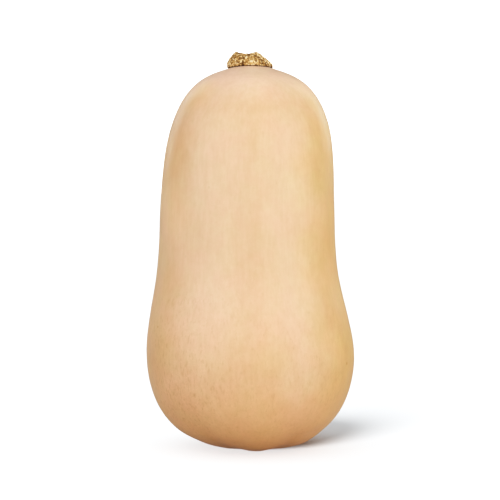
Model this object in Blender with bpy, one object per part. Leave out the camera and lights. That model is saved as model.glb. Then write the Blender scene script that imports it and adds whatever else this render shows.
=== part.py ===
"""A butternut squash standing on its blossom end, with the cut, corky stub of its stem.

Metres, +Z up, with the front facing -Y. The origin is under the middle of the bulb, on the level
of the flat patch that the squash stands on.

Each body starts as a UV sphere, whose rings are moved onto an outline and whose points are then
pushed about by small rules: the neck leans, the section is slightly lobed, the stem is ridged.
"""

import math

import bmesh
import bpy
import numpy as np

# ---- driving dimensions -----------------------------------------------------------------------

REST_RADIUS = 0.0165  # level patch of the blossom end, which the squash stands on
SEAT_RADIUS = 0.0146  # level patch of the shoulder, which the stem stands on
SEAT_HEIGHT = 0.2174
STEM_GAP = 0.0003  # clearance between the fruit and the stem

# The fruit's outline from the rest patch to the stem's seat, as (height, radius).
FRUIT_OUTLINE = [
    (0.0000, REST_RADIUS),
    (0.0030, 0.0298),
    (0.0115, 0.0432),
    (0.0250, 0.0536),
    (0.0420, 0.0590),
    (0.0580, 0.0597),
    (0.0800, 0.0563),
    (0.1030, 0.0520),
    (0.1300, 0.0504),
    (0.1560, 0.0492),
    (0.1780, 0.0468),
    (0.1950, 0.0415),
    (0.2070, 0.0335),
    (0.2142, 0.0232),
    (SEAT_HEIGHT, SEAT_RADIUS),
]
NECK_LEAN = -0.0020  # how far the middle of the neck stands off the axis, along X
NECK_SET_BACK = 0.0012  # the same along Y
LEAN_START, LEAN_END = 0.050, 0.205  # heights between which the neck is off the axis
LEAN_SKEW = 0.87  # below 1, the neck leans most below the middle of that stretch
BLOSSOM_SHIFT = 0.0036  # how far the blossom end is off the axis, along X
BLOSSOM_REACH = 0.015  # height at which that has faded out

LOBES = 5  # soft swellings round both ends of the fruit
LOBE_START = 0.006  # distance from the level patch over which they rise
BASE_LOBE_DEPTH, BASE_LOBE_REACH, BASE_LOBE_TURN = 0.0007, 0.040, 1.05
SHOULDER_LOBE_DEPTH, SHOULDER_LOBE_REACH, SHOULDER_LOBE_TURN = 0.0004, 0.055, 1.0

# The stem's outline from its foot to the rim of the cut, as (height above the foot, radius).
STEM_OUTLINE = [
    (0.0000, 0.0128),
    (0.0014, 0.0130),
    (0.0040, 0.0121),
    (0.0064, 0.0101),
    (0.0084, 0.0080),
    (0.0102, 0.0062),
]
STEM_OFFSET = -0.0005  # how far the stem's foot stands off the axis, along X
STEM_LEAN = -0.0022  # how much further the rim of the cut stands off it
STEM_RIDGES = 5  # woody ribs that run down the stem and flare at its foot
STEM_RIDGE_DEPTH, STEM_RIDGE_TURN = 0.0006, 0.6
RIDGE_START = 0.0016  # height above the foot over which they rise
CUT_HOLLOW = 0.0016  # how far the middle of the cut is sunk below its rim
CUT_DIP = 0.0008  # how far the rim drops at the front and the back

FRUIT_SEGMENTS, FRUIT_RINGS = 72, 44
STEM_SEGMENTS, STEM_RINGS = 50, 20
CUT_RINGS = 5  # of the stem's rings, how many lie on the cut

SKIN_COLOUR = (0.80, 0.57, 0.35, 1.0)
STEM_COLOUR = (0.46, 0.31, 0.14, 1.0)


# ---- outlines ---------------------------------------------------------------------------------


def natural_spline(knots, values):
    """The smoothest curve through the values at the knots, as a function of the distance."""
    count = len(knots)
    gaps = np.diff(knots)
    slopes = np.diff(values) / gaps
    matrix = np.eye(count)
    right = np.zeros(count)
    for i in range(1, count - 1):
        matrix[i, i - 1 : i + 2] = gaps[i - 1], 2 * (gaps[i - 1] + gaps[i]), gaps[i]
        right[i] = 6 * (slopes[i] - slopes[i - 1])
    bend = np.linalg.solve(matrix, right)

    def curve(distance):
        i = int(np.clip(np.searchsorted(knots, distance) - 1, 0, count - 2))
        h, a, b = gaps[i], knots[i + 1] - distance, distance - knots[i]
        bow = (a**3 * bend[i] + b**3 * bend[i + 1]) / (6 * h)
        line_a = (values[i] / h - bend[i] * h / 6) * a
        line_b = (values[i + 1] / h - bend[i + 1] * h / 6) * b
        return float(bow + line_a + line_b)

    return curve


def outline_points(outline, count):
    """Evenly spaced (height, radius) points on a smooth curve through an outline."""
    points = np.array(outline)
    steps = np.linalg.norm(np.diff(points, axis=0), axis=1)
    knots = np.concatenate([[0.0], np.cumsum(steps)])
    height = natural_spline(knots, points[:, 0])
    radius = natural_spline(knots, points[:, 1])
    return [(height(d), radius(d)) for d in np.linspace(0.0, knots[-1], count)]


def fade(distance, reach):
    """1 at no distance, falling smoothly to 0 at the reach."""
    share = min(max(1.0 - distance / reach, 0.0), 1.0)
    return share * share * (3.0 - 2.0 * share)


# ---- bodies -----------------------------------------------------------------------------------


def ringed_body(name, segments, rings, place, material, collection):
    """A closed body made from a UV sphere, whose points place(ring, angle) puts where they go.

    Ring 0 is the lowest point of the body and ring `rings` is the highest.
    """
    bm = bmesh.new()
    bmesh.ops.create_uvsphere(bm, u_segments=segments, v_segments=rings, radius=1.0)
    for vert in bm.verts:
        polar = math.acos(min(max(-vert.co.z, -1.0), 1.0))
        angle = math.atan2(vert.co.y, vert.co.x)
        vert.co = place(round(polar / math.pi * rings), angle)
    bmesh.ops.recalc_face_normals(bm, faces=bm.faces)
    mesh = bpy.data.meshes.new(name)
    bm.to_mesh(mesh)
    bm.free()
    mesh.materials.append(material)
    mesh.shade_smooth()
    mesh.set_sharp_from_angle(angle=math.radians(50))
    body = bpy.data.objects.new(name, mesh)
    collection.objects.link(body)
    return body


def fruit_rings():
    """(height, radius) of each ring of the fruit, with a level patch at both ends."""
    side = outline_points(FRUIT_OUTLINE, FRUIT_RINGS - 1)
    return [(0.0, 0.0), *side, (SEAT_HEIGHT, 0.0)]


def fruit_lobes(height, angle):
    """How far the skin stands out from the turned outline."""
    depth = 0.0
    for distance, size, reach, turn in (
        (height, BASE_LOBE_DEPTH, BASE_LOBE_REACH, BASE_LOBE_TURN),
        (SEAT_HEIGHT - height, SHOULDER_LOBE_DEPTH, SHOULDER_LOBE_REACH, SHOULDER_LOBE_TURN),
    ):
        strength = fade(distance, reach) - fade(distance, LOBE_START)
        depth += size * strength * math.cos(LOBES * angle + turn)
    return depth


def axis_shift(height):
    """How far the middle of the section at a height stands off the axis, along X and Y."""
    share = (height - LEAN_START) / (LEAN_END - LEAN_START)
    share = min(max(share, 0.0), 1.0) ** LEAN_SKEW
    lean = max(math.sin(math.pi * share), 0.0) ** 1.5
    blossom = BLOSSOM_SHIFT * fade(height, BLOSSOM_REACH)
    return (NECK_LEAN * lean + blossom, NECK_SET_BACK * lean)


def make_fruit(material, collection):
    rings = fruit_rings()

    def place(ring, angle):
        height, radius = rings[ring]
        radius += fruit_lobes(height, angle)
        shift_x, shift_y = axis_shift(height)
        x = radius * math.cos(angle) + shift_x
        return (x, radius * math.sin(angle) + shift_y, height)

    return ringed_body("fruit", FRUIT_SEGMENTS, FRUIT_RINGS, place, material, collection)


def stem_rings():
    """(height, radius, share of the way into the cut) of each ring of the stem."""
    rim_height, rim_radius = STEM_OUTLINE[-1]
    side = [(h, r, 0.0) for h, r in outline_points(STEM_OUTLINE, STEM_RINGS - CUT_RINGS)]
    shares = [i / CUT_RINGS for i in range(1, CUT_RINGS + 1)]
    cut = [(rim_height, rim_radius * (1.0 - share), share) for share in shares]
    return [(0.0, 0.0, 0.0), *side, *cut]


def make_stem(material, collection):
    rings = stem_rings()
    foot_height = SEAT_HEIGHT + STEM_GAP
    rim_height = STEM_OUTLINE[-1][0]

    def place(ring, angle):
        height, radius, inwards = rings[ring]
        up = height / rim_height
        ridge = STEM_RIDGE_DEPTH * math.cos(STEM_RIDGES * angle + STEM_RIDGE_TURN)
        radius += ridge * (1.0 - fade(height, RIDGE_START)) * (1.0 - inwards)
        dip = CUT_DIP * math.sin(angle) ** 2 * up**4 * (1.0 - inwards)
        hollow = CUT_HOLLOW * inwards * (2.0 - inwards)
        x = radius * math.cos(angle) + STEM_OFFSET + STEM_LEAN * up
        return (x, radius * math.sin(angle), foot_height + height - dip - hollow)

    return ringed_body("stem", STEM_SEGMENTS, STEM_RINGS, place, material, collection)


# ---- materials and the scene ------------------------------------------------------------------


def plain_material(name, colour, roughness):
    material = bpy.data.materials.new(name)
    material.use_nodes = True
    shader = material.node_tree.nodes["Principled BSDF"]
    shader.inputs["Base Color"].default_value = colour
    shader.inputs["Roughness"].default_value = roughness
    shader.inputs["Metallic"].default_value = 0.0
    return material


def clear_scene():
    for old in list(bpy.data.objects):
        bpy.data.objects.remove(old, do_unlink=True)


def main():
    clear_scene()
    squash = bpy.data.collections.new("butternut_squash")
    bpy.context.scene.collection.children.link(squash)
    make_fruit(plain_material("skin", SKIN_COLOUR, 0.45), squash)
    make_stem(plain_material("stem_wood", STEM_COLOUR, 0.85), squash)


main()
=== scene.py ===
"""Looks of a butternut squash: its skin, its corky stem, a pale studio, and the camera.

Metres, +Z up, front facing -Y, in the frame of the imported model. Both pieces are modelled here at
full detail on the outline of their CAD solids: the relief is in the mesh, and the finest grain,
the speckles and the colours are in the materials.
"""

import itertools
import math

import bpy
import numpy as np
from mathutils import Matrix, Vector


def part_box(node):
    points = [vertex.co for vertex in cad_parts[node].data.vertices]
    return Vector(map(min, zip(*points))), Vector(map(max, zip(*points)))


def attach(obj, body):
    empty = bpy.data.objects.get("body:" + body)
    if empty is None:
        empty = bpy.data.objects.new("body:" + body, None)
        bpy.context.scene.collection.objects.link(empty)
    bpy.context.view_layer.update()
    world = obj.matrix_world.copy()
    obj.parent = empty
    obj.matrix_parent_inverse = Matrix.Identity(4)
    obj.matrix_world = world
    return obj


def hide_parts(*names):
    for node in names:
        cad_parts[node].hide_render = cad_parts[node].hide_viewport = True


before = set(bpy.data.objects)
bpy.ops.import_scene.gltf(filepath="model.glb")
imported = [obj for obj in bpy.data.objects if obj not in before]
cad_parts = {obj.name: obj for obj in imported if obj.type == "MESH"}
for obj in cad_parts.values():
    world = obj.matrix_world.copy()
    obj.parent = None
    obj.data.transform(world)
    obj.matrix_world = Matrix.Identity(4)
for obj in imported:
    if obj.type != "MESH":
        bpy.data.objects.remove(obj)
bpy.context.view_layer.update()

MM = 0.001

# ---- sizes from the frame ---------------------------------------------------------------------

FRUIT_LOW, FRUIT_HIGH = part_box("fruit")
STEM_LOW, STEM_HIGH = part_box("stem")
FRUIT_HEIGHT = FRUIT_HIGH.z - FRUIT_LOW.z
BULB_RADIUS = (FRUIT_HIGH.x - FRUIT_LOW.x) / 2
STEM_HEIGHT = STEM_HIGH.z - STEM_LOW.z
STEM_RADIUS = (STEM_HIGH.y - STEM_LOW.y) / 2
FLOOR_LEVEL = FRUIT_LOW.z

# ---- outlines, as shares of those sizes -------------------------------------------------------

# The fruit from the edge of its resting patch to the crown under the stem: (height, radius).
FRUIT_OUTLINE = [
    (0.0000, 0.276),
    (0.0138, 0.464),
    (0.0529, 0.712),
    (0.1150, 0.896),
    (0.1932, 0.986),
    (0.2668, 0.998),
    (0.3680, 0.941),
    (0.4738, 0.869),
    (0.5980, 0.843),
    (0.7176, 0.823),
    (0.8188, 0.783),
    (0.8970, 0.694),
    (0.9522, 0.560),
    (0.9853, 0.388),
    (1.0000, 0.244),
    (1.0100, 0.110),
    (1.0125, 0.010),
]
CROWN_RADIUS, CROWN_RISE = 0.244, 0.0125  # the slight dome of the fruit under the stem
# The stem from its foot to the rim of the cut: (height, radius).
STEM_OUTLINE = [
    (-0.080, 0.900),
    (0.000, 0.960),
    (0.130, 0.985),
    (0.390, 0.920),
    (0.630, 0.775),
    (0.820, 0.610),
    (0.970, 0.470),
]


# ---- small tools ------------------------------------------------------------------------------


def natural_spline(knots, values):
    """The smoothest curve through the values at the knots, as a function of the distance."""
    count = len(knots)
    gaps = np.diff(knots)
    slopes = np.diff(values) / gaps
    matrix = np.eye(count)
    right = np.zeros(count)
    for i in range(1, count - 1):
        matrix[i, i - 1 : i + 2] = gaps[i - 1], 2 * (gaps[i - 1] + gaps[i]), gaps[i]
        right[i] = 6 * (slopes[i] - slopes[i - 1])
    bend = np.linalg.solve(matrix, right)

    def curve(distance):
        i = np.clip(np.searchsorted(knots, distance) - 1, 0, count - 2)
        h, a, b = gaps[i], knots[i + 1] - distance, distance - knots[i]
        bow = (a**3 * bend[i] + b**3 * bend[i + 1]) / (6 * h)
        line_a = (values[i] / h - bend[i] * h / 6) * a
        line_b = (values[i + 1] / h - bend[i + 1] * h / 6) * b
        return bow + line_a + line_b

    return curve


def outline_points(outline, height_unit, radius_unit, count):
    """Evenly spaced heights and radii on a smooth curve through an outline."""
    points = np.array(outline) * (height_unit, radius_unit)
    steps = np.linalg.norm(np.diff(points, axis=0), axis=1)
    knots = np.concatenate([[0.0], np.cumsum(steps)])
    places = np.linspace(0.0, knots[-1], count)
    height = natural_spline(knots, points[:, 0])(places)
    radius = natural_spline(knots, points[:, 1])(places)
    return height, radius


def fade(distance, reach):
    """1 at no distance, falling smoothly to 0 at the reach."""
    share = np.clip(1.0 - distance / reach, 0.0, 1.0)
    return share * share * (3.0 - 2.0 * share)


def rise(value, start, end):
    """0 up to the start, rising smoothly to 1 at the end."""
    return 1.0 - fade(value - start, end - start)


LATTICE = 256  # cells after which the noise repeats
SEED_STEP = np.array([1.7, 2.3, 3.1])  # how many cells apart the seeds take their noise
NOISE_GAIN = 1.6  # brings the plain noise up to about -1 to 1
shuffler = np.random.default_rng(11)
SHUFFLED = shuffler.permutation(LATTICE)
SLOPES = shuffler.normal(size=(LATTICE, 3))
SLOPES /= np.linalg.norm(SLOPES, axis=1, keepdims=True)


def lumps(points, size, seed):
    """Smooth noise from about -1 to 1, whose lumps are about `size` across."""
    place = points / size + seed * SEED_STEP
    cell = np.floor(place).astype(int)
    part = place - cell
    ease = part**3 * (part * (part * 6 - 15) + 10)
    total = np.zeros(points.shape[:-1])
    for corner in itertools.product((0, 1), repeat=3):
        x, y, z = np.moveaxis((cell + corner) % LATTICE, -1, 0)
        column = SHUFFLED[(SHUFFLED[x] + y) % LATTICE]
        pick = SHUFFLED[(column + z) % LATTICE]
        slope = ((part - corner) * SLOPES[pick]).sum(axis=-1)
        weight = np.where(corner, ease, 1.0 - ease).prod(axis=-1)
        total += weight * slope
    return NOISE_GAIN * total


def ring_grid(rings, segments):
    """The number of the ring and the angle of every point."""
    number, step = np.meshgrid(np.arange(rings), np.arange(segments), indexing="ij")
    return number, 2 * math.pi * step / segments


def grid_body(name, grid, low_tip, high_tip, marks):
    """A closed body from rings of points, lowest first, with a fan of faces over each end.

    marks gives, by name, a value for each point of the grid, which the materials read.
    """
    rings, segments, _ = grid.shape
    low, high = rings * segments, rings * segments + 1
    here = np.arange(rings * segments).reshape(rings, segments)
    beside = np.roll(here, -1, axis=1)
    sides = np.stack([here[:-1], beside[:-1], beside[1:], here[1:]], axis=-1).reshape(-1, 4)
    faces = sides.tolist()
    faces += [(low, b, a) for a, b in zip(here[0].tolist(), beside[0].tolist())]
    faces += [(high, a, b) for a, b in zip(here[-1].tolist(), beside[-1].tolist())]
    mesh = bpy.data.meshes.new(name)
    points = np.concatenate([grid.reshape(-1, 3), [low_tip, high_tip]])
    mesh.from_pydata(points.tolist(), [], faces)
    for mark, values in marks.items():
        ends = [values[0].mean(), values[-1].mean()]
        attribute = mesh.attributes.new(mark, "FLOAT", "POINT")
        attribute.data.foreach_set("value", np.concatenate([values.ravel(), ends]))
    mesh.shade_smooth()
    body = bpy.data.objects.new(name, mesh)
    bpy.context.scene.collection.objects.link(body)
    return body


# ---- the fruit --------------------------------------------------------------------------------

FRUIT_SEGMENTS, FRUIT_RINGS = 384, 256
BASE_RINGS = 12  # of those, how many lie on the underside
NECK_LEAN, NECK_SET_BACK = -2.0 * MM, 1.2 * MM  # how far the neck stands off the axis
LEAN_START, LEAN_END, LEAN_SKEW = 0.230, 0.943, 0.87  # shares of the height where it does
BLOSSOM_SHIFT, BLOSSOM_REACH = 2.6 * MM, 12 * MM
BLOSSOM_HOLLOW = 1.6 * MM  # the blossom end is drawn in around its scar
LOBES = 5  # soft swellings round both ends of the fruit
BASE_LOBE_AT = math.radians(-88)  # direction of the swelling that faces the front
BASE_LOBE_DEPTH, BASE_LOBE_START, BASE_LOBE_REACH = 0.7 * MM, 5 * MM, 42 * MM
REST_LOBE_DEPTH, REST_LOBE_REACH = 2.3 * MM, 6 * MM  # the same swellings, close to the floor
CREASE_WIDTH = math.radians(9)
CREASE_DEPTH, CREASE_REACH = 0.7 * MM, 26 * MM
CREASE_MARK_REACH = 24 * MM  # height up to which painted shade darkens the creases
SHOULDER_LOBE_TURN = 1.0
SHOULDER_LOBE_DEPTH, SHOULDER_LOBE_START, SHOULDER_LOBE_REACH = 0.35 * MM, 8 * MM, 60 * MM
SKIN_RIBS, SKIN_RIB_DEPTH, SKIN_RIB_TURN = 10, 0.10 * MM, 0.8
SKIN_RIB_WANDER, SKIN_RIB_WANDER_SIZE = 0.25, 60 * MM  # the ribs don't run quite straight
# Soft unevenness between the two ends, as (depth, size, seed), and the fine one everywhere.
SKIN_LUMPS = [(0.30 * MM, 38 * MM, 7), (0.10 * MM, 13 * MM, 11)]
FINE_LUMPS = (0.03 * MM, 4.5 * MM, 17)
# The stretches over which ribs and unevenness set in, from the floor up and from the top down.
SETS_IN_ABOVE, SETS_IN_BELOW = (8 * MM, 40 * MM), (4 * MM, 30 * MM)
FINE_SETS_IN_ABOVE = (1 * MM, 6 * MM)
SCAR_RADIUS, SCAR_REACH = 9 * MM, 6 * MM


def axis_shift(height):
    """How far the middle of the section at a height stands off the axis, along X and Y."""
    share = (height / FRUIT_HEIGHT - LEAN_START) / (LEAN_END - LEAN_START)
    share = np.clip(share, 0.0, 1.0) ** LEAN_SKEW
    lean = np.maximum(np.sin(math.pi * share), 0.0) ** 1.5
    return NECK_LEAN * lean + BLOSSOM_SHIFT * fade(height, BLOSSOM_REACH), NECK_SET_BACK * lean


def crease_strength(angle):
    """1 along the shallow creases between the swellings of the blossom end, 0 away from them."""
    lobe = 2 * math.pi / LOBES
    off = (angle - BASE_LOBE_AT) % lobe - lobe / 2
    return np.exp(-((off / CREASE_WIDTH) ** 2))


def fruit_relief(points, height, angle):
    """How far the skin stands out from the turned outline."""
    below_top = FRUIT_HEIGHT - height
    at_base = fade(height, BASE_LOBE_REACH) * rise(height, 0.0, BASE_LOBE_START)
    at_shoulder = fade(below_top, SHOULDER_LOBE_REACH) * rise(below_top, 0.0, SHOULDER_LOBE_START)
    base_lobes = np.cos(LOBES * (angle - BASE_LOBE_AT))
    depth = BASE_LOBE_DEPTH * at_base * base_lobes
    depth -= CREASE_DEPTH * at_base * fade(height, CREASE_REACH) * crease_strength(angle)
    depth += REST_LOBE_DEPTH * fade(height, REST_LOBE_REACH) * base_lobes
    depth += SHOULDER_LOBE_DEPTH * at_shoulder * np.cos(LOBES * angle + SHOULDER_LOBE_TURN)
    along = rise(height, *SETS_IN_ABOVE) * rise(below_top, *SETS_IN_BELOW)
    wander = SKIN_RIB_WANDER * lumps(points, SKIN_RIB_WANDER_SIZE, 4)
    ribs = np.cos(SKIN_RIBS * (angle + wander) + SKIN_RIB_TURN)
    depth += SKIN_RIB_DEPTH * along * ribs
    for rough, across, seed in SKIN_LUMPS:
        depth += rough * along * lumps(points, across, seed)
    rough, across, seed = FINE_LUMPS
    depth += rough * rise(height, *FINE_SETS_IN_ABOVE) * lumps(points, across, seed)
    return depth


def make_fruit():
    height, radius = outline_points(
        FRUIT_OUTLINE, FRUIT_HEIGHT, BULB_RADIUS, FRUIT_RINGS - BASE_RINGS
    )
    inner = (np.arange(BASE_RINGS) + 0.3) / BASE_RINGS  # shares of the resting patch's radius
    height = np.concatenate([BLOSSOM_HOLLOW * fade(inner, 0.85), height])
    radius = np.concatenate([radius[0] * inner, radius])
    ring, angle = ring_grid(FRUIT_RINGS, FRUIT_SEGMENTS)
    height, radius = height[ring], radius[ring]
    shift_x, shift_y = axis_shift(height)

    def placed(radius):
        x = radius * np.cos(angle) + shift_x
        y = radius * np.sin(angle) + shift_y
        return np.stack([x, y, FLOOR_LEVEL + height], axis=-1)

    relief = fruit_relief(placed(radius), height, angle)
    crown_radius = CROWN_RADIUS * BULB_RADIUS
    relief *= rise(radius, 0.2 * crown_radius, crown_radius)
    points = placed(radius + relief)
    from_scar = np.hypot(points[..., 0] - BLOSSOM_SHIFT, points[..., 1])
    marks = {
        "scar": fade(from_scar, SCAR_RADIUS) * fade(height, SCAR_REACH),
        "crease": crease_strength(angle) * fade(height, CREASE_MARK_REACH),
    }
    low_tip = (BLOSSOM_SHIFT, 0.0, FLOOR_LEVEL + BLOSSOM_HOLLOW)
    high_tip = (0.0, 0.0, FLOOR_LEVEL + FRUIT_OUTLINE[-1][0] * FRUIT_HEIGHT)
    return grid_body("skin", points, low_tip, high_tip, marks)


# ---- the stem ---------------------------------------------------------------------------------

STEM_SEGMENTS, STEM_RINGS = 320, 200
CUT_RINGS = 50  # of those, how many lie on the cut
STEM_RIBS, STEM_FOLDS = 5, 17
STEM_TWIST, STEM_WANDER = 0.25, 0.30  # how far they turn up the stem, and how unevenly
STEM_LEAN, STEM_OFFSET = -2.2 * MM, -0.3 * MM
STEM_DEPTH = 0.80  # the foot is narrower from front to back than across
RIM_DIP = 1.5 * MM  # how far the rim of the cut drops at the front and the back
GROOVE_AT = math.radians(343)  # a deeper groove down the right side, with a ridge beside it
GROOVE_WIDTH = math.radians(4.5)
FOOT_LINE = 1.3 * MM  # height over which painted shade darkens the foot
FOOT_DRAPE = 5 * MM  # height over which the foot follows the crown of the fruit
# How far each kind of relief stands out or goes in, in millimetres.
RIB_OUT, FOLD_OUT, GROOVE_IN, WART_OUT, PIT_IN, GRAIN_OUT = 0.40, 0.22, 0.5, 0.30, 1.2, 0.12
WART_SHAPE = (1.0, 1.0, 0.7)  # the warts are drawn out upwards
RIM_RAGGED = 0.30 * MM
CUT_SUNK, PITH_SUNK = 1.5 * MM, 0.6 * MM  # the cut below its rim, and the pith below the cut
CUT_LUMPS = [(0.16 * MM, 0.45 * MM, 6), (0.2 * MM, 1.8 * MM, 5)]  # (depth, size, seed)
FOOT_SUNK = 0.5 * MM  # the unseen middle of the foot, inside the crown of the fruit


def crown_height(radius):
    """Height above the floor of the fruit's crown under the stem, at a radius from the axis."""
    drop = (radius / (CROWN_RADIUS * BULB_RADIUS)) ** 2
    return FRUIT_HEIGHT * (1.0 + CROWN_RISE * (1.0 - drop))


def stem_relief(points, up, angle):
    """How far the cork of the stem stands out, from its ribs down to its warts."""
    warped = angle + STEM_WANDER * lumps(points, 6 * MM, 3) + STEM_TWIST * up
    rib = 1.0 - np.abs(np.sin(0.5 * STEM_RIBS * warped + 0.3)) ** 0.8
    fold = 1.0 - np.abs(np.sin(0.5 * STEM_FOLDS * warped + 1.1))
    warts = lumps(points * WART_SHAPE, 1.5 * MM, 0) + 0.8 * lumps(points, 0.8 * MM, 1)
    pits = np.maximum(0.0, lumps(points, 1.2 * MM, 9) - 0.15)
    grain = lumps(points, 0.45 * MM, 2)
    groove = np.exp(-((angle - GROOVE_AT) ** 2) / GROOVE_WIDTH**2)
    ridge = np.exp(-((angle - GROOVE_AT + 2.6 * GROOVE_WIDTH) ** 2) / GROOVE_WIDTH**2)
    large = RIB_OUT * (rib - 0.4) + FOLD_OUT * (fold - 0.35) + GROOVE_IN * (ridge - groove)
    return MM * (large + WART_OUT * warts - PIT_IN * pits + GRAIN_OUT * grain)


def make_stem():
    side_count = STEM_RINGS - CUT_RINGS
    height, radius = outline_points(STEM_OUTLINE, STEM_HEIGHT, STEM_RADIUS, side_count)
    rim_height = height[-1]
    foot_level = STEM_LOW.z
    ring, angle = ring_grid(STEM_RINGS, STEM_SEGMENTS)
    inwards = np.clip((ring - side_count + 1) / (CUT_RINGS + 0.5), 0.0, 1.0)
    ring = np.minimum(ring, side_count - 1)
    height, radius = height[ring], radius[ring] * (1.0 - inwards)
    up = np.maximum(height, 0.0) / rim_height
    rough = np.stack([radius * np.cos(angle), radius * np.sin(angle), height], axis=-1)
    relief = stem_relief(rough, up, angle)
    foot = fade(height, FOOT_LINE) * (1.0 - inwards)
    dip = RIM_DIP * (1.0 - np.abs(np.cos(angle)) ** 2.5) * up**3
    ragged = RIM_RAGGED * lumps(rough, 1.4 * MM, 21) * up**3
    on_cut = rise(inwards, 0.0, 0.1)
    fibres = sum(depth * lumps(rough, across, seed) for depth, across, seed in CUT_LUMPS)
    sunk = CUT_SUNK * rise(inwards, 0.0, 0.75) + PITH_SUNK * rise(inwards, 0.8, 1.0)
    radius = radius + relief * fade(inwards, 0.25)
    height = height + (ragged - dip) * (1.0 - inwards) + on_cut * fibres - sunk
    x = np.cos(angle) * radius + STEM_OFFSET + STEM_LEAN * up
    y = np.sin(angle) * radius * (STEM_DEPTH + (1.0 - STEM_DEPTH) * up)
    drape = fade(np.maximum(height, 0.0), FOOT_DRAPE)
    z = foot_level + height + drape * (crown_height(np.hypot(x, y)) - foot_level)
    points = np.stack([x, y, z], axis=-1)
    marks = {"relief": relief / MM, "cut": rise(inwards, 0.0, 0.06), "foot": foot}
    low_tip = (STEM_OFFSET, 0.0, foot_level - FOOT_SUNK)
    high_tip = points[-1].mean(axis=0)
    return grid_body("stem_cork", points, low_tip, high_tip, marks)


# ---- materials --------------------------------------------------------------------------------


class Nodes:
    """Short calls for building a node tree, each of which returns the socket it ends in."""

    def __init__(self, name):
        self.material = bpy.data.materials.new(name)
        self.material.use_nodes = True
        self.tree = self.material.node_tree
        self.shader = self.tree.nodes["Principled BSDF"]

    def link(self, source, target):
        """Puts a number or colour on an input, or links a socket to it."""
        if isinstance(source, (int, float, tuple)):
            target.default_value = source
        else:
            self.tree.links.new(source, target)

    def position(self, scale=(1.0, 1.0, 1.0)):
        """The point on the surface in metres, stretched by the scale."""
        where = self.tree.nodes.new("ShaderNodeTexCoord")
        mapping = self.tree.nodes.new("ShaderNodeMapping")
        mapping.inputs["Scale"].default_value = scale
        self.link(where.outputs["Object"], mapping.inputs["Vector"])
        return mapping.outputs["Vector"]

    def mark(self, name):
        """A value that the mesh carries at each of its points."""
        node = self.tree.nodes.new("ShaderNodeAttribute")
        node.attribute_name = name
        return node.outputs["Fac"]

    def noise(self, vector, size, detail=2.0, roughness=0.5):
        node = self.tree.nodes.new("ShaderNodeTexNoise")
        node.inputs["Scale"].default_value = 1.0 / size
        node.inputs["Detail"].default_value = detail
        node.inputs["Roughness"].default_value = roughness
        self.link(vector, node.inputs["Vector"])
        return node.outputs["Fac"]

    def cells(self, vector, size, output="Distance"):
        node = self.tree.nodes.new("ShaderNodeTexVoronoi")
        node.inputs["Scale"].default_value = 1.0 / size
        self.link(vector, node.inputs["Vector"])
        return node.outputs[output]

    def ramp(self, value, low, high, to_low=0.0, to_high=1.0):
        """Maps low..high smoothly to to_low..to_high."""
        node = self.tree.nodes.new("ShaderNodeMapRange")
        node.interpolation_type = "SMOOTHSTEP"
        for name, number in (
            ("From Min", low),
            ("From Max", high),
            ("To Min", to_low),
            ("To Max", to_high),
        ):
            node.inputs[name].default_value = number
        self.link(value, node.inputs["Value"])
        return node.outputs["Result"]

    def math(self, operation, a, b=0.0, c=0.0):
        node = self.tree.nodes.new("ShaderNodeMath")
        node.operation = operation
        for value, target in zip((a, b, c), node.inputs):
            self.link(value, target)
        return node.outputs[0]

    def mix(self, factor, a, b, blend="MIX"):
        node = self.tree.nodes.new("ShaderNodeMixRGB")
        node.blend_type = blend
        self.link(factor, node.inputs["Fac"])
        self.link(a, node.inputs["Color1"])
        self.link(b, node.inputs["Color2"])
        return node.outputs["Color"]

    def colours(self, value, stops, interpolation="EASE"):
        """A colour ramp with the given (place, colour) stops."""
        node = self.tree.nodes.new("ShaderNodeValToRGB")
        node.color_ramp.interpolation = interpolation
        elements = node.color_ramp.elements
        while len(elements) < len(stops):
            elements.new(0.5)
        for element, (place, colour) in zip(elements, stops):
            element.position = place
            element.color = colour
        self.link(value, node.inputs["Fac"])
        return node.outputs["Color"]

    def along(self, vector, axis="Z"):
        node = self.tree.nodes.new("ShaderNodeSeparateXYZ")
        self.link(vector, node.inputs["Vector"])
        return node.outputs[axis]

    def near(self, vector, point, radius):
        """1 at a point, falling smoothly to 0 at the radius from it."""
        node = self.tree.nodes.new("ShaderNodeVectorMath")
        node.operation = "DISTANCE"
        self.link(vector, node.inputs[0])
        node.inputs[1].default_value = point
        return self.ramp(node.outputs["Value"], radius, 0.25 * radius)

    def tint(self, colour, factor, by):
        """Multiplies a colour by another one, to the extent of the factor."""
        return self.mix(factor, colour, (*by, 1.0), "MULTIPLY")

    def vary(self, colour, value, low, high):
        """Multiplies a colour by low where the value is 0 and by high where it is 1."""
        return self.mix(1.0, colour, self.mix(value, (*low, 1.0), (*high, 1.0)), "MULTIPLY")

    def bump(self, height, distance):
        node = self.tree.nodes.new("ShaderNodeBump")
        node.inputs["Distance"].default_value = distance
        self.link(height, node.inputs["Height"])
        return node.outputs["Normal"]


def shade(red, green, blue):
    """A linear colour from display values of 0 to 255."""
    values = []
    for c in (red, green, blue):
        c /= 255
        values.append(c / 12.92 if c <= 0.04045 else ((c + 0.055) / 1.055) ** 2.4)
    return (*values, 1.0)


# Skin pigment up the fruit, as (share of the height, colour): orange below and peach above.
PIGMENT = [
    (0.00, shade(237, 170, 103)),
    (0.04, shade(235, 174, 111)),
    (0.10, shade(231, 177, 121)),
    (0.20, shade(229, 181, 135)),
    (0.40, shade(229, 187, 148)),
    (0.70, shade(229, 189, 149)),
    (0.90, shade(229, 187, 149)),
    (1.00, shade(236, 201, 172)),
]
# Faint upright bands, as (distance to the right of the axis, half width, tint): two pale painted
# highlights of the front lamps, with painted shade in the darker band between them.
HIGHLIGHT_AND_SHADE_BANDS = [
    (-24 * MM, 15 * MM, (1.0, 1.012, 1.03)),
    (9 * MM, 16 * MM, (1.0, 0.986, 0.955)),
    (29 * MM, 12 * MM, (1.01, 1.015, 1.03)),
]
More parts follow.
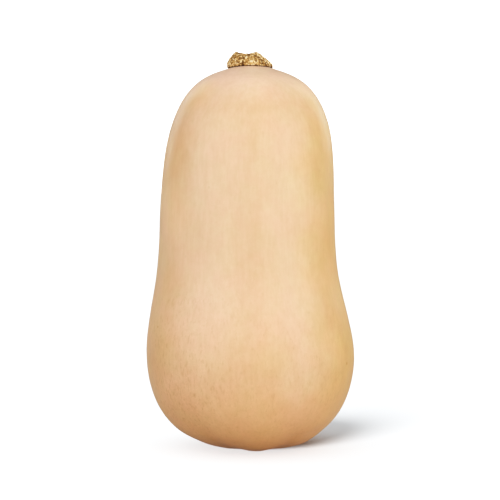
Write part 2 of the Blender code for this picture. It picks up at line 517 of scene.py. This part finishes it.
# Broad soft areas that are riper or paler than the rest of the skin, as (direction in degrees,
# share of the height, radius, tint).
UNEVEN_AREAS = [
    (-160, 0.790, 30 * MM, (0.91, 0.86, 0.72)),
    (-160, 0.890, 26 * MM, (0.89, 0.88, 0.82)),
    (-146, 0.615, 22 * MM, (1.08, 1.09, 1.16)),
    (-140, 0.930, 15 * MM, (1.00, 0.97, 0.84)),
    (-133, 0.115, 22 * MM, (0.93, 0.89, 0.84)),
    (-152, 0.240, 18 * MM, (0.95, 0.93, 0.90)),
    (-78, 0.270, 17 * MM, (0.97, 0.97, 0.91)),
    (-64, 0.195, 17 * MM, (1.01, 1.06, 1.09)),
    (-39, 0.272, 15 * MM, (1.05, 1.10, 1.18)),
    (-38, 0.625, 17 * MM, (1.05, 1.03, 1.12)),
    (-12, 0.070, 17 * MM, (1.04, 1.16, 1.34)),
    (-10, 0.880, 20 * MM, (0.96, 1.03, 1.14)),
    (-5, 0.560, 42 * MM, (1.01, 0.94, 0.84)),
    (88, 0.300, 36 * MM, (0.94, 0.91, 0.84)),
    (140, 0.620, 30 * MM, (0.96, 0.93, 0.86)),
]
# Tints that multiply the pigment.
# The first two are painted shade: the right side deeper golden and the left side darker tan, where
# the sheen of the front lamps falls off towards the edges.
GOLDEN_SIDE_SHADE, TAN_SIDE_SHADE = (1.0, 0.97, 0.62), (0.96, 0.93, 0.76)
SPECKLE, DASH, DOT = (0.86, 0.80, 0.70), (0.92, 0.86, 0.78), (0.90, 0.89, 0.82)
PALE_FLECK, PALE_PORE = (1.07, 1.08, 1.10), (1.04, 1.06, 1.10)
# The second of these is painted shade in the shallow creases of the blossom end.
HEALED, CREASE_SHADE = (0.82, 0.70, 0.56), (0.84, 0.72, 0.56)
# Colours of the flower's scar, as (place, colour).
SCAR_CORK = [(0.3, shade(104, 74, 44)), (0.7, shade(178, 142, 98))]
# Small healed marks, as (direction in degrees, share of the height, radius).
BLEMISHES = [
    (-25, 0.235, 1.3 * MM),
    (-152, 0.330, 0.9 * MM),
    (12, 0.520, 1.1 * MM),
    (64, 0.300, 1.7 * MM),
    (118, 0.660, 1.2 * MM),
    (171, 0.180, 1.5 * MM),
]


def on_skin(degrees, share):
    """A point on the smooth outline of the fruit."""
    height, radius = outline_points(FRUIT_OUTLINE, FRUIT_HEIGHT, BULB_RADIUS, 400)
    at = int(np.argmin(np.abs(height - share * FRUIT_HEIGHT)))
    shift_x, shift_y = axis_shift(height[at])
    x = radius[at] * math.cos(math.radians(degrees)) + float(shift_x)
    y = radius[at] * math.sin(math.radians(degrees)) + float(shift_y)
    return (x, y, FLOOR_LEVEL + float(height[at]))


def skin_material():
    """Waxy peach-tan skin: paler above, more orange below, mottled, streaked and speckled."""
    n = Nodes("rind_skin")
    here = n.position()
    upright = n.position((1.0, 1.0, 0.13))  # on these two, noise is drawn out up the fruit
    dashes = n.position((1.0, 1.0, 0.38))
    height = n.along(here)
    across = n.along(here, "X")
    bulb = n.ramp(height, 125 * MM, 35 * MM)
    left = n.ramp(across, 5 * MM, -45 * MM)

    # the pigment, with painted shade on the golden and tan sides, painted highlight bands with
    # painted shade between them, and broad uneven areas
    colour = n.colours(n.math("DIVIDE", height, FRUIT_HEIGHT), PIGMENT, "LINEAR")
    uneven = n.noise(here, 30 * MM, detail=2.0)
    bent = n.math("MULTIPLY_ADD", n.math("SUBTRACT", uneven, 0.5), 22 * MM, across)
    # painted shade: deeper golden on the right side and darker tan on the left, where the front
    # lamps' sheen falls off
    outer = n.math("MULTIPLY_ADD", bulb, -13 * MM, bent)
    weak_base = n.ramp(height, 5 * MM, 45 * MM, 0.4)
    golden_side_shade = n.math("MULTIPLY", n.ramp(outer, 12 * MM, 50 * MM), weak_base)
    colour = n.tint(colour, golden_side_shade, GOLDEN_SIDE_SHADE)
    outer = n.math("MULTIPLY_ADD", bulb, 9 * MM, bent)
    colour = n.tint(colour, n.ramp(outer, -28 * MM, -52 * MM), TAN_SIDE_SHADE)
    # painted highlights of the two front lamps, and painted shade in the band between them
    for middle, half_width, tint in HIGHLIGHT_AND_SHADE_BANDS:
        off = n.math("ABSOLUTE", n.math("SUBTRACT", bent, middle))
        colour = n.tint(colour, n.ramp(off, half_width, 0.0), tint)
    for degrees, share, radius, tint in UNEVEN_AREAS:
        colour = n.tint(colour, n.near(here, on_skin(degrees, share), radius), tint)
    broad = n.ramp(n.noise(here, 42 * MM, detail=3.0), 0.30, 0.70)
    colour = n.vary(colour, broad, (0.975, 0.965, 0.93), (1.02, 1.02, 1.04))
    hue = n.ramp(n.noise(here, 17 * MM, detail=3.0, roughness=0.6), 0.32, 0.68)
    colour = n.vary(colour, hue, (1.01, 0.975, 0.985), (0.99, 1.02, 0.985))
    mottle = n.ramp(n.noise(here, 5.5 * MM, detail=5.0, roughness=0.65), 0.28, 0.72)
    colour = n.vary(colour, mottle, (0.975, 0.955, 0.92), (1.02, 1.03, 1.05))

    # fine streaks that run from the stem to the blossom end
    streak = n.ramp(n.noise(upright, 2.1 * MM, detail=4.0, roughness=0.6), 0.30, 0.70)
    colour = n.vary(colour, streak, (0.978, 0.965, 0.94), (1.015, 1.02, 1.03))

    # brown and pale specks low down, thickest on the left, and faint dots and pores everywhere
    patches = n.ramp(n.noise(here, 24 * MM, detail=2.0), 0.42, 0.66)
    crowd = n.math("MULTIPLY", bulb, n.math("MULTIPLY_ADD", left, 0.6, 0.4))
    crowd = n.math("ADD", crowd, n.math("MULTIPLY", patches, 0.2))
    speckle = n.ramp(n.noise(dashes, 1.3 * MM, detail=3.0, roughness=0.6), 0.50, 0.74)
    colour = n.tint(colour, n.math("MULTIPLY", speckle, crowd), SPECKLE)
    fleck = n.ramp(n.noise(here, 0.9 * MM, detail=2.0), 0.52, 0.72)
    colour = n.tint(colour, n.math("MULTIPLY", fleck, crowd), PALE_FLECK)
    dash = n.ramp(n.cells(dashes, 3.3 * MM), 0.30, 0.04)
    chosen = n.ramp(n.along(n.cells(dashes, 3.3 * MM, "Color"), "X"), 0.45, 0.62)
    dash = n.math("MULTIPLY", n.math("MULTIPLY", dash, chosen), crowd)
    colour = n.tint(colour, dash, DASH)
    dot = n.ramp(n.cells(here, 7.3 * MM), 0.17, 0.02)
    picked = n.ramp(n.along(n.cells(here, 7.3 * MM, "Color"), "Y"), 0.60, 0.90)
    dot = n.math("MULTIPLY", dot, picked)
    colour = n.tint(colour, n.math("MULTIPLY", dot, 0.7), DOT)
    pale = n.ramp(n.cells(here, 2.7 * MM), 0.16, 0.04)
    colour = n.tint(colour, n.math("MULTIPLY", pale, 0.4), PALE_PORE)

    # a few small healed marks
    healed = 0.0
    for degrees, share, radius in BLEMISHES:
        healed = n.math("ADD", n.near(here, on_skin(degrees, share), radius), healed)
    colour = n.tint(colour, n.math("MINIMUM", healed, 1.0), HEALED)

    # painted shade in the creases at the blossom end, and the corky scar of the flower
    colour = n.tint(colour, n.math("MULTIPLY", n.mark("crease"), 0.8), CREASE_SHADE)
    ragged = n.math("ADD", n.mark("scar"), n.math("MULTIPLY", n.noise(here, 2.2 * MM), 0.35))
    cork = n.colours(n.noise(here, 1.1 * MM, detail=3.0), SCAR_CORK)
    corky = n.ramp(ragged, 0.60, 0.75)
    colour = n.mix(corky, colour, cork)
    n.link(colour, n.shader.inputs["Base Color"])

    # a satin, waxy gloss, duller on the marks
    gloss = n.ramp(n.noise(here, 11 * MM, detail=3.0), 0.3, 0.7, 0.37, 0.47)
    gloss = n.math("ADD", gloss, n.math("MULTIPLY", n.ramp(mottle, 0.0, 1.0), 0.03))
    gloss = n.math("ADD", gloss, n.math("MULTIPLY", n.math("MAXIMUM", corky, healed), 0.3))
    n.link(gloss, n.shader.inputs["Roughness"])
    n.shader.inputs["Coat Weight"].default_value = 0.08
    n.shader.inputs["Coat Roughness"].default_value = 0.28

    # dots, streaks and the finest unevenness, as heights in hundredths of a millimetre
    peel = n.math("MULTIPLY", n.noise(here, 0.8 * MM, detail=3.0, roughness=0.6), 1.6)
    grain = n.math("MULTIPLY", streak, 0.9)
    pocks = n.math("MULTIPLY", n.math("ADD", n.math("ADD", dot, dash), healed), -3.0)
    soft = n.math("MULTIPLY", mottle, 1.5)
    fine = n.math("ADD", n.math("ADD", peel, grain), n.math("ADD", pocks, soft))
    n.link(n.bump(fine, 0.01 * MM), n.shader.inputs["Normal"])
    return n.material


# The stem's cork from the bottoms of its pits to the tops of its warts, as (place, colour): partly
# the cork's own colour, partly painted shade at the dark end and painted highlights at the pale
# end.
CORK_AND_RELIEF_SHADE = [
    (0.00, shade(96, 60, 18)),
    (0.22, shade(150, 104, 42)),
    (0.42, shade(204, 160, 88)),
    (0.62, shade(230, 194, 132)),
    (0.82, shade(248, 230, 186)),
    (1.00, shade(255, 250, 234)),
]
CUT_WOOD = [
    (0.30, shade(150, 112, 62)),
    (0.55, shade(206, 174, 118)),
    (0.75, shade(240, 218, 168)),
]
# Painted shade for the foot of the stem, where it meets the skin.
FOOT_SHADE = (0.20, 0.13, 0.06)
WART_SIZE = 1.05 * MM


def stem_material():
    """Cork: golden on the slopes, partly its own colour and partly painted shade that darkens the
    pits to brown and painted highlights that make the warts straw-coloured.
    """
    n = Nodes("stem_cork")
    here = n.position()
    fibres = n.position((1.0, 1.0, 0.22))
    relief = n.mark("relief")
    cut = n.mark("cut")
    grit = n.noise(here, 0.45 * MM, detail=4.0, roughness=0.75)
    wart = n.cells(here, WART_SIZE)
    own = n.along(n.cells(here, WART_SIZE, "Color"), "X")  # each wart has its own shade
    # painted shade and highlight: the colour follows the relief and each wart's middle, darker in
    # the pits and paler on the tops, with random tone from the grit and each wart's own shade
    tone_and_relief_shade = n.math("MULTIPLY_ADD", n.math("SUBTRACT", grit, 0.5), 1.2, relief)
    tone_and_relief_shade = n.math("MULTIPLY_ADD", n.math("SUBTRACT", own, 0.5), 1.1, tone_and_relief_shade)
    tone_and_relief_shade = n.math("MULTIPLY_ADD", n.math("SUBTRACT", 0.42, wart), 1.1, tone_and_relief_shade)
    colour = n.colours(n.ramp(tone_and_relief_shade, -1.10, 1.20), CORK_AND_RELIEF_SHADE, "LINEAR")
    patch = n.ramp(n.noise(here, 2.6 * MM, detail=2.0), 0.35, 0.65)
    colour = n.vary(colour, patch, (0.95, 0.90, 0.78), (1.05, 1.05, 1.06))
    fibre = n.ramp(n.noise(fibres, 0.4 * MM, detail=3.0), 0.3, 0.7)

    # the cut: paler, mottled wood
    wood = n.colours(n.noise(fibres, 0.5 * MM, detail=4.0, roughness=0.7), CUT_WOOD)
    colour = n.mix(cut, colour, wood)

    # painted shade: the dark line where the stem meets the skin
    colour = n.tint(colour, n.ramp(n.mark("foot"), 0.15, 0.75), FOOT_SHADE)
    n.link(colour, n.shader.inputs["Base Color"])

    n.link(n.ramp(relief, -0.8, 0.9, 0.92, 0.66), n.shader.inputs["Roughness"])
    n.shader.inputs["Specular IOR Level"].default_value = 0.35
    rough = n.math("ADD", n.math("MULTIPLY", grit, 1.3), n.math("MULTIPLY", fibre, 0.5))
    rough = n.math("SUBTRACT", rough, n.math("MULTIPLY", wart, 0.8))
    n.link(n.bump(rough, 0.16 * MM), n.shader.inputs["Normal"])
    return n.material


# ---- studio and camera ------------------------------------------------------------------------

CAMERA_AWAY = 0.90
CAMERA_HEIGHT = 0.15
CAMERA_PITCH = math.radians(2.3088)  # how far it looks down
CAMERA_LENS = 112.32
CAMERA_SIDE = -0.35 * MM
SENSOR_WIDTH = 36.0


def make_camera():
    data = bpy.data.cameras.new("camera")
    data.lens = CAMERA_LENS
    data.sensor_width = SENSOR_WIDTH
    camera = bpy.data.objects.new("camera", data)
    camera.location = (CAMERA_SIDE, -CAMERA_AWAY, FLOOR_LEVEL + CAMERA_HEIGHT)
    camera.rotation_euler = (math.pi / 2 - CAMERA_PITCH, 0.0, 0.0)
    bpy.context.scene.collection.objects.link(camera)
    bpy.context.scene.camera = camera


PAPER_SIZE = 60.0
PAPER_COLOUR = (0.765, 0.795, 0.82, 1.0)
TABLE_DROP = 0.1 * MM  # how far the unseen sheet is below the floor


def make_paper(name, level):
    """A sheet of white paper, large enough to reach the horizon."""
    bpy.ops.mesh.primitive_plane_add(size=PAPER_SIZE, location=(0.0, 0.0, level))
    floor = bpy.context.object
    floor.name = name
    n = Nodes(name + "_paper")
    n.shader.inputs["Base Color"].default_value = PAPER_COLOUR
    n.shader.inputs["Roughness"].default_value = 1.0
    n.shader.inputs["Specular IOR Level"].default_value = 0.0
    floor.data.materials.append(n.material)
    return floor


SHADOW_RADIUS, SHADOW_HEIGHT, SHADOW_SIDE = 38 * MM, 70 * MM, 2 * MM


def make_shadow_caster():
    """A squat form inside the squash, unseen, which gives the floor its short soft shadow."""
    bpy.ops.mesh.primitive_uv_sphere_add(segments=64, ring_count=32)
    caster = bpy.context.object
    caster.name = "shadow_caster"
    caster.scale = (SHADOW_RADIUS, SHADOW_RADIUS, SHADOW_HEIGHT / 2)
    caster.location = (SHADOW_SIDE, 0.0, FLOOR_LEVEL + SHADOW_HEIGHT / 2)
    for seen_by in ("visible_camera", "visible_diffuse", "visible_glossy"):
        setattr(caster, seen_by, False)
    return caster


SOFTBOX_AWAY = 1.4
# (name, azimuth, elevation, width, height, power) of the lamps round the squash, which light
# only the squash
SOFTBOXES = [
    ("far_left", -70, 12, 0.45, 1.2, 3.75),
    ("left", -47, 12, 0.45, 1.2, 3.9),
    ("front_left", -25, 12, 0.45, 1.2, 5.2),
    ("front_right", 25, 12, 0.45, 1.2, 5.6),
    ("right", 52, 12, 0.45, 1.2, 6.1),
    ("far_right", 75, 12, 0.45, 1.2, 4.0),
    ("top_left", -50, 60, 0.6, 0.6, 0.6),
    ("top", 0, 88, 1.0, 1.0, 3.75),
    ("back_left", -140, 25, 0.6, 1.0, 3.0),
    ("back_right", 140, 25, 0.6, 1.0, 3.0),
]
# (name, azimuth, elevation, softness in degrees, strength, casts a shadow) of the distant lamps
TABLE_LAMPS = [
    ("table_left", -50, 60, 50, 0.43, False),
    ("table_right", 20, 70, 60, 0.64, True),
]
FLOOR_LOW_LAMP = ("floor_low", -30, 27, 25, 5.1, True)
FLOOR_HIGH_LAMP = ("floor_high", -90, 70, 130, 1.85, True)
WORLD_FILL, WORLD_WHITE = 0.12, 1.5  # the world's light on the squash, and as the camera sees it


def lit_only(lamp, group):
    """Lets a lamp light only the objects of a group."""
    lamp.light_linking.receiver_collection = group


def direction(azimuth, elevation):
    """Unit vector from the squash, with azimuth 0 at the front and growing to the right."""
    a, e = math.radians(azimuth), math.radians(elevation)
    return Vector((math.sin(a) * math.cos(e), -math.cos(a) * math.cos(e), math.sin(e)))


def aimed(lamp, back):
    lamp.rotation_euler = back.to_track_quat("Z", "Y").to_euler()


def make_softbox(name, azimuth, elevation, width, height, power):
    """A large soft lamp near the squash, aimed at its middle."""
    data = bpy.data.lights.new(name, "AREA")
    data.shape = "RECTANGLE"
    data.size, data.size_y = width, height
    data.energy = power
    lamp = bpy.data.objects.new(name, data)
    back = direction(azimuth, elevation)
    lamp.location = Vector((0.0, 0.0, FRUIT_HEIGHT / 2)) + SOFTBOX_AWAY * back
    aimed(lamp, back)
    bpy.context.scene.collection.objects.link(lamp)
    return lamp


def make_skylight(name, azimuth, elevation, softness, strength, shadow):
    """A very distant lamp, so that the floor is equally white all the way to the horizon."""
    data = bpy.data.lights.new(name, "SUN")
    data.angle = math.radians(softness)
    data.energy = strength
    data.use_shadow = shadow
    lamp = bpy.data.objects.new(name, data)
    aimed(lamp, direction(azimuth, elevation))
    bpy.context.scene.collection.objects.link(lamp)
    return lamp


def make_world():
    """A white room: pure white to the camera, and a soft fill light for the squash."""
    world = bpy.data.worlds.new("studio")
    world.use_nodes = True
    tree = world.node_tree
    fill = tree.nodes["Background"]
    fill.inputs["Color"].default_value = (1.0, 1.0, 1.0, 1.0)
    fill.inputs["Strength"].default_value = WORLD_FILL
    seen = tree.nodes.new("ShaderNodeBackground")
    seen.inputs["Color"].default_value = (1.0, 1.0, 1.0, 1.0)
    seen.inputs["Strength"].default_value = WORLD_WHITE
    ray = tree.nodes.new("ShaderNodeLightPath")
    either = tree.nodes.new("ShaderNodeMixShader")
    tree.links.new(ray.outputs["Is Camera Ray"], either.inputs["Fac"])
    tree.links.new(fill.outputs["Background"], either.inputs[1])
    tree.links.new(seen.outputs["Background"], either.inputs[2])
    tree.links.new(either.outputs["Shader"], tree.nodes["World Output"].inputs["Surface"])
    bpy.context.scene.world = world


def make_film_response():
    """Plain colours, with the gentle shoulder of a photograph in the highlights."""
    view = bpy.context.scene.view_settings
    view.view_transform = "Standard"
    view.use_curve_mapping = True
    curve = view.curve_mapping.curves[3]
    for light in np.linspace(0.1, 0.9, 9):
        seen = 2 ** (1 / 3) * light / (1 + light**3) ** (1 / 3)
        curve.points.new(float(light), float(seen))
    view.curve_mapping.update()


def group_of(name, *members):
    group = bpy.data.collections.new(name)
    bpy.context.scene.collection.children.link(group)
    for member in members:
        group.objects.link(member)
    return group


def make_studio(skin, stem):
    """The floor that the camera sees gives the squash no light: an unseen sheet below it does."""
    floor = make_paper("floor", FLOOR_LEVEL)
    for seen_by in ("visible_diffuse", "visible_glossy", "visible_shadow"):
        setattr(floor, seen_by, False)
    table = make_paper("table", FLOOR_LEVEL - TABLE_DROP)
    table.visible_camera = False
    squash_lit = group_of("squash_lit", skin, stem)
    floor_lit = group_of("floor_lit", floor)
    table_lit = group_of("table_lit", table)
    for softbox in SOFTBOXES:
        lit_only(make_softbox(*softbox), squash_lit)
    for skylight in TABLE_LAMPS:
        lit_only(make_skylight(*skylight), table_lit)
    casters = group_of("casters", make_shadow_caster())
    low_lamp = make_skylight(*FLOOR_LOW_LAMP)
    lit_only(low_lamp, floor_lit)
    low_lamp.light_linking.blocker_collection = casters
    lit_only(make_skylight(*FLOOR_HIGH_LAMP), floor_lit)
    make_world()


def main():
    skin = make_fruit()
    skin.data.materials.append(skin_material())
    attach(skin, "root")
    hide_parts("fruit")

    stem = make_stem()
    stem.data.materials.append(stem_material())
    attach(stem, "root")
    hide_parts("stem")

    make_studio(skin, stem)
    make_camera()
    make_film_response()


main()
